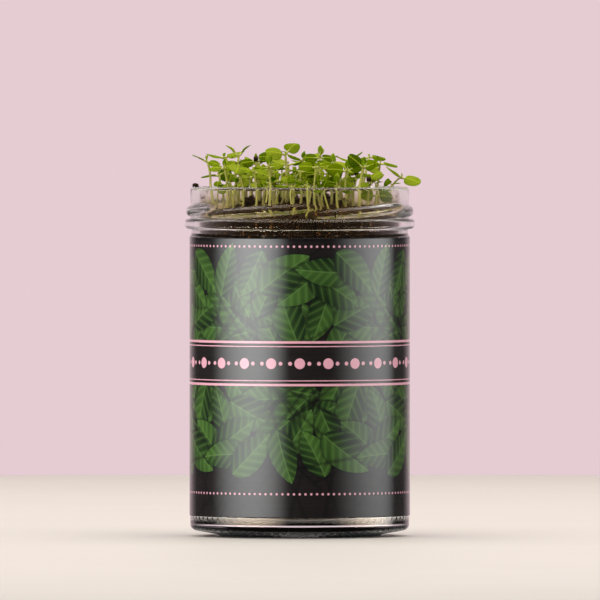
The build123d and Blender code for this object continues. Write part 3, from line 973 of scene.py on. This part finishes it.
labelRepeat = fullTurn * labelOuter / labelSizes["repeats"]


def tossedLeaves():
    # broad leaves strewn over one repeat: middle along, middle up from the band, aim, length, width
    s = labelSizes
    rng = np.random.default_rng(s["seed"])
    leaves = []
    for row in range(s["leafRows"]):
        for column in range(s["leafColumns"]):
            along = (column + 0.5 * (row % 2) + rng.uniform(-0.18, 0.18)) * labelRepeat / s["leafColumns"]
            rise = s["rowFoot"] + s["rowStep"] * row + rng.uniform(-1.6, 1.6)
            aim = math.radians(137.5 * (column + s["leafColumns"] * row) + rng.uniform(-25, 25))
            length = rng.uniform(*s["leafLength"])
            leaves.append((along, rise, aim, length, length * rng.uniform(*s["leafWidth"])))
    return leaves


def repeated(along, beat):
    # distance along from the middle of the nearest repeat
    return times(minus(maths("FRACT", plus(maths("DIVIDE", along, beat), 50.5)), 0.5), beat)


def leafStamp():
    # one printed leaf as a shared group: where it is, and how light
    group = bpy.data.node_groups.new("printedLeaf", "ShaderNodeTree")
    bench["tree"] = group
    asked = ("Across", "Up", "Turn", "Length", "Width")
    for way, names in (("INPUT", asked), ("OUTPUT", ("Mask", "Light", "Vein", "Shade"))):
        for name in names:
            group.interface.new_socket(name, in_out=way, socket_type="NodeSocketFloat")
    given = group.nodes.new("NodeGroupInput").outputs
    across, up, turn, length, width = (given[name] for name in asked)
    across = repeated(across, labelRepeat)
    cosine, sine = maths("COSINE", turn), maths("SINE", turn)
    run = plus(times(across, cosine), times(up, sine))
    run = plus(maths("DIVIDE", run, length), 0.5)
    # the leaf bends a little to one side and swells from stalk to tip
    side = minus(times(up, cosine), times(across, sine))
    side = plus(side, times(times(run, run), times(width, 0.12)))
    flank = maths("ABSOLUTE", side)
    half = times(width, 0.5)
    inRun = maths("MINIMUM", maths("MAXIMUM", run, 0.0), 1.0)
    swell = times(maths("POWER", inRun, 0.62), maths("POWER", minus(1.0, inRun), 0.85), times(half, 2.72))
    inside = minus(swell, flank)
    # lighter on one half and towards the tip, with bellies between the veins
    share = maths("DIVIDE", flank, half)
    belly = maths("SINE", minus(times(run, 38.0), times(share, 9.0)))
    light = plus(ramp(side, -0.5, 0.5, 0.22, 0.55), times(belly, 0.13))
    light = maths("ADD", minus(light, times(share, 0.30)), times(run, 0.28), clamp=True)
    rib = ramp(flank, 0.1, 0.34, 1.0, 0.0, True)
    veins = ramp(belly, 0.86, 1.0, 0.0, 0.5, True)
    fill(group.nodes.new("NodeGroupOutput"), {
        "Mask": ramp(inside, 0.0, 0.16), "Light": light, "Vein": maths("MAXIMUM", rib, veins),
        "Shade": ramp(inside, -1.3, 0.3, 0.0, 1.0, True),
    })
    return group


def labelFinish():
    s = labelSizes
    stamp = leafStamp()
    material, shader = newFinish("printedLabel")
    sheet = reading("sheet", "Vector")
    across, up, _ = axes(sheet)
    # charcoal boards, laid level, with long grain
    board = maths("DIVIDE", plus(up, 9.0), s["boardHeight"])
    number, inBoard = maths("FLOOR", board), maths("FRACT", board)
    plank = vectorFrom(X=plus(across, times(number, s["boardShift"])), Y=up, Z=number)
    longGrain = grain(stretch(plank, (0.035, 1.6, 1.0)), 1.0, 7, 0.62, 0.3)
    fineGrain = grain(stretch(plank, (0.12, 5.5, 1.0)), 1.0, 4, 0.6)
    figure = grain(stretch(plank, (0.012, 0.16, 1.0)), 1.0, 4, 0.5, 0.6)
    tone = plus(times(longGrain, 0.55), times(fineGrain, 0.3), times(figure, 0.35))
    boards = blend(ramp(tone, 0.42, 0.82), s["boardDark"], s["boardLight"])
    boards = blend(ramp(longGrain, 0.34, 0.27, 0, 0.9, True), boards, s["joint"])
    edge = maths("MINIMUM", inBoard, minus(1.0, inBoard))
    boards = blend(ramp(edge, 0.012, 0.03, 0.95, 0, True), boards, s["joint"])
    # strewn leaves above and below a plain band
    fromMiddle = minus(up, s["middle"])
    away = maths("ABSOLUTE", fromMiddle)
    shifted = plus(across, times(maths("GREATER_THAN", fromMiddle, 0.0), labelRepeat * 0.37))
    hue = grain(stretch(sheet, (0.05, 0.05, 0.05)), 1.0, 3, 0.5)
    warmth = ramp(hue, 0.3, 0.7, 0.75, 1.25)
    colour = boards
    for along, rise, aim, length, width in tossedLeaves():
        leaf = addNode("Group", node_tree=stamp)
        fill(leaf, {"Across": minus(shifted, along), "Up": minus(away, rise),
                    "Turn": aim, "Length": length, "Width": width})
        mask, light, vein, shade = leaf.outputs
        # each leaf throws a little shade on those under it
        colour = blend(times(shade, 0.65), colour, s["joint"])
        green = blend(times(light, warmth), s["leafDark"], s["leafLight"])
        green = blend(times(vein, 0.45), green, s["leafVein"])
        colour = blend(mask, colour, green)
    colour = blend(ramp(away, s["bandHalf"] - 0.05, s["bandHalf"] + 0.05, 1, 0), colour, boards)

    def rule(reach, half, edge):
        return ramp(maths("ABSOLUTE", minus(away, reach)), half, edge, 1, 0)

    def dots(count, radius, height):
        slide, rise = repeated(across, labelRepeat / count), minus(up, height)
        span = maths("SQRT", plus(times(slide, slide), times(rise, rise)))
        return ramp(span, radius - 0.08, radius + 0.08, 1, 0)

    # pink rules along the band, a row of dots in it, and a dotted rule near each edge of the sheet
    pink = rule(s["bandHalf"], 0.36, 0.48)
    for mark in (
        rule(s["bandHalf"] - s["thinRule"], 0.12, 0.22),
        dots(6, s["largeDot"], s["middle"]), dots(18, s["smallDot"], s["middle"]),
        dots(30, s["edgeDot"], s["lowDots"]), dots(30, s["edgeDot"], labelHeight - s["highDots"]),
    ):
        pink = maths("MAXIMUM", pink, mark)
    fill(shader, {
        "Base Color": blend(pink, colour, s["pink"]),
        "Roughness": ramp(grain(sheet, 0.35, 3, 0.5), 0.3, 0.7, 0.50, 0.60),
        "Specular IOR Level": s["gloss"], "Coat Weight": s["coat"],
        "Coat Roughness": s["coatRough"], "Coat IOR": s["coatIor"],
    })
    paper = grain(sheet, 1.8, 4, 0.6)
    bump(shader, plus(times(paper, 0.6), times(longGrain, 0.5)), 0.00003, 0.5)
    return material


def buildLabel():
    # a sheet wound once round and lapped over its own start at the back, edges slightly eased
    s = labelSizes
    lapTurn = s["lap"] / labelOuter
    steps = s["around"] + int(s["around"] * lapTurn / fullTurn)
    turns = np.linspace(0, fullTurn + lapTurn, steps + 1)
    climb = np.clip((turns - fullTurn + 0.05) / 0.05, 0, 1)
    climb = climb * climb * (3 - 2 * climb) * (s["thickness"] + 0.02)
    heights = [*s["rowsLow"], *np.linspace(8, labelHeight - 8, s["rowsMiddle"])]
    heights += [labelHeight - h for h in reversed(s["rowsLow"])]
    ease = [*s["edgeEase"], *[0.0] * (len(heights) - 6), *reversed(s["edgeEase"])]
    points, sheet = [], []
    for radius, giveShare in ((labelInner, -0.3), (labelOuter, 1)):
        for height, give in zip(heights, ease):
            for turn, up in zip(turns, climb):
                # the wind starts at the back and goes round by the left, front and right
                reach = radius + up - giveShare * give
                points.append(ringSpot(reach, math.pi / 2 + turn, s["base"] + height))
                sheet.append(((turn - math.pi) * labelOuter, height, 0.0))
    wide, tall = len(turns), len(heights)
    outer = len(points) // 2
    faces = []
    for row in range(tall - 1):
        for step in range(wide - 1):
            a = row * wide + step
            faces.append((outer + a, outer + a + 1, outer + a + wide + 1, outer + a + wide))
            faces.append((a, a + wide, a + wide + 1, a + 1))
    # the cut edge, once round the sheet's border
    border = [*range(wide), *range(2 * wide - 1, tall * wide, wide)]
    border += [*range(tall * wide - 2, (tall - 1) * wide - 1, -1), *range((tall - 2) * wide, -1, -wide)]
    faces += [(a, b, outer + b, outer + a) for a, b in zip(border, border[1:])]
    piece = makePiece("wrapLabel", points, faces, [labelFinish()], None, {"sheet": np.array(sheet)})
    return settle(piece, "label_print", "wrap_label")


wrapped = buildLabel()
print("label wrapped")


# studio: pale round table, pale pink surround, soft panels and a soft top

studio = {
    "surround": (0.780, 0.604, 0.646), "frontRoom": (0.085, 0.070, 0.070), "below": (0.060, 0.066, 0.068),
    "table": (0.755, 0.690, 0.610), "tableR": 0.84, "tableAround": 160, "tableEdge": 3, "tableDrop": 20,
    "leftPanel": {"azimuth": -57.0, "away": 0.42, "half": 48.0, "low": -0.05, "tall": 0.18, "glow": 16.5},
    "rightPanel": {"azimuth": 73.0, "away": 0.42, "half": 44.0, "low": -0.05, "tall": 0.18, "glow": 8.2},
    "heelGlow": {"middle": -0.030, "tall": 0.08, "glow": 23.0},
    "topPanel": {"where": (0, 0.05, 1.7), "aim": (0, 0.05, 0), "wide": 2.8, "glow": 2.5},
    "frontPanel": {"azimuth": -20.0, "lift": 28.0, "away": 1.5, "aim": (0, 0, 0.12),
                   "wide": 1.3, "glow": 2.45},
    "eye": (0.0001, -8.0, 0.230), "aim": (0.0001, 0.0, 0.0844), "acrossAtAxis": 0.2147,
}


def buildTable():
    material, shader = newFinish("paleTable")
    cloud = grain(place(), 6, 4, 0.5)
    darker = tuple(c * 0.97 for c in studio["table"])
    fill(shader, {"Base Color": blend(ramp(cloud, 0.3, 0.7), studio["table"], darker),
                  "Roughness": ramp(cloud, 0.3, 0.7, 0.5, 0.6)})
    around, edge = studio["tableAround"], studio["tableEdge"]
    radius = studio["tableR"] / mm
    points = [(0, 0, 0)]
    outline = ((radius * 0.5, 0), (radius - edge, 0), (radius, -edge), (radius, -studio["tableDrop"]))
    for reach, rise in outline:
        points += [ringSpot(reach, fullTurn * step / around, rise) for step in range(around)]
    faces = [(0, 1 + step, 1 + (step + 1) % around) for step in range(around)]
    faces += [tuple(reversed(face)) for face in tubeFaces(4, around, 1)]
    table = makePiece("paleTable", points, faces, [material])
    # kept out of the label's gloss, which shows the side panels down to its foot
    table.visible_glossy = False


def softPanel(name, size, glow, where, aim, feathered=False):
    lamp = bpy.data.lights.new(name, "AREA")
    lamp.shape = "RECTANGLE"
    lamp.size, lamp.size_y = size
    lamp.energy = glow * math.pi * size[0] * size[1]
    if feathered:
        # bright in the middle, fading to both sides and towards the table
        lamp.use_nodes = True
        bench["tree"] = lamp.node_tree
        across, up, _ = axes(addNode("NewGeometry").outputs["Parametric"])
        wave = maths("SINE", times(maths("POWER", across, 1.25), math.pi))
        light = times(wave, wave, ramp(up, 0.2, 0.85, 0.5, 1.0))
        put(light, lamp.node_tree.nodes["Emission"].inputs["Strength"])
    panel = bpy.data.objects.new(name, lamp)
    panel.location = where
    panel.rotation_mode = "QUATERNION"
    panel.rotation_quaternion = (Vector(aim) - Vector(where)).to_track_quat("-Z", "Y")
    panel.visible_camera = False
    scene.collection.objects.link(panel)
    return panel


def sidePanel(name, ending, middle, tall, glow, lit):
    p = studio[name]
    wide = 2 * p["away"] * math.tan(math.radians(p["half"]))
    where = frontSpot(p["away"], p["azimuth"], middle)
    panel = softPanel(name + ending, (wide, tall), glow, where, (0, 0, middle), True)
    panel.light_linking.receiver_collection = lit


def collect(name, pieces):
    group = bpy.data.collections.new(name)
    for piece in pieces:
        group.objects.link(piece)
    return group


def buildWorld():
    # a pale pink backdrop; what the gloss picks up is dimmer to the sides, in front and below
    world = bpy.data.worlds.new("paleSurround")
    world.use_nodes = True
    bench["tree"] = world.node_tree
    _, back, up = axes(addNode("TexCoord").outputs["Generated"])
    path = addNode("LightPath").outputs
    level = ramp(up, -0.2, -0.06)
    behind = times(ramp(back, 0.72, 0.97, 0.0, 1.0, True), level)
    through = times(ramp(back, -0.4, 0.2, 0.0, 1.0, True), path["Is Transmission Ray"])
    pale = maths("MAXIMUM", maths("MAXIMUM", behind, through), path["Is Camera Ray"])
    room = blend(level, studio["below"], studio["frontRoom"])
    room = blend(pale, room, studio["surround"])
    put(room, world.node_tree.nodes["Background"].inputs["Color"])
    scene.world = world


def buildCamera():
    eye = bpy.data.cameras.new("photoEye")
    eye.sensor_width = 36.0
    camera = bpy.data.objects.new("photoEye", eye)
    camera.location = studio["eye"]
    look = Vector(studio["aim"]) - Vector(studio["eye"])
    eye.lens = eye.sensor_width * look.length / studio["acrossAtAxis"]
    eye.clip_end = 40.0
    camera.rotation_mode = "QUATERNION"
    camera.rotation_quaternion = look.to_track_quat("-Z", "Y")
    scene.collection.objects.link(camera)
    scene.camera = camera


def buildStudio():
    buildTable()
    buildWorld()
    # the side panels are flagged off everything but the label's gloss
    labelOnly = collect("labelOnly", [wrapped])
    for name in ("leftPanel", "rightPanel"):
        p = studio[name]
        sidePanel(name, "", p["low"] + p["tall"] / 2, p["tall"], p["glow"], labelOnly)
    # a low pair for the bare glass of the heel
    jarOnly = collect("jarOnly", [jarPiece])
    p = studio["heelGlow"]
    for name in ("leftPanel", "rightPanel"):
        sidePanel(name, "Low", p["middle"], p["tall"], p["glow"], jarOnly)
    p = studio["topPanel"]
    softPanel("topPanel", (p["wide"], p["wide"]), p["glow"], p["where"], p["aim"])
    # a soft front panel for the plants alone
    p = studio["frontPanel"]
    turn, tilt = math.radians(p["azimuth"]), math.radians(p["lift"])
    level = math.cos(tilt)
    where = Vector((math.sin(turn) * level, -math.cos(turn) * level, math.sin(tilt))) * p["away"]
    panel = softPanel("frontPanel", (p["wide"], p["wide"]), p["glow"], where, p["aim"])
    plantsOnly = collect("plantsOnly", greenPieces)
    panel.light_linking.receiver_collection = plantsOnly
    panel.light_linking.blocker_collection = plantsOnly
    buildCamera()
    # clear glass throws hardly any shadow
    jarPiece.visible_shadow = False
    # light runs a long way along the thick glass of the base
    scene.cycles.max_bounces = 40
    scene.cycles.glossy_bounces = 24
    scene.cycles.transmission_bounces = 40
    scene.view_settings.view_transform = "Standard"
    scene.view_settings.look = "None"


buildStudio()
print("studio lit")
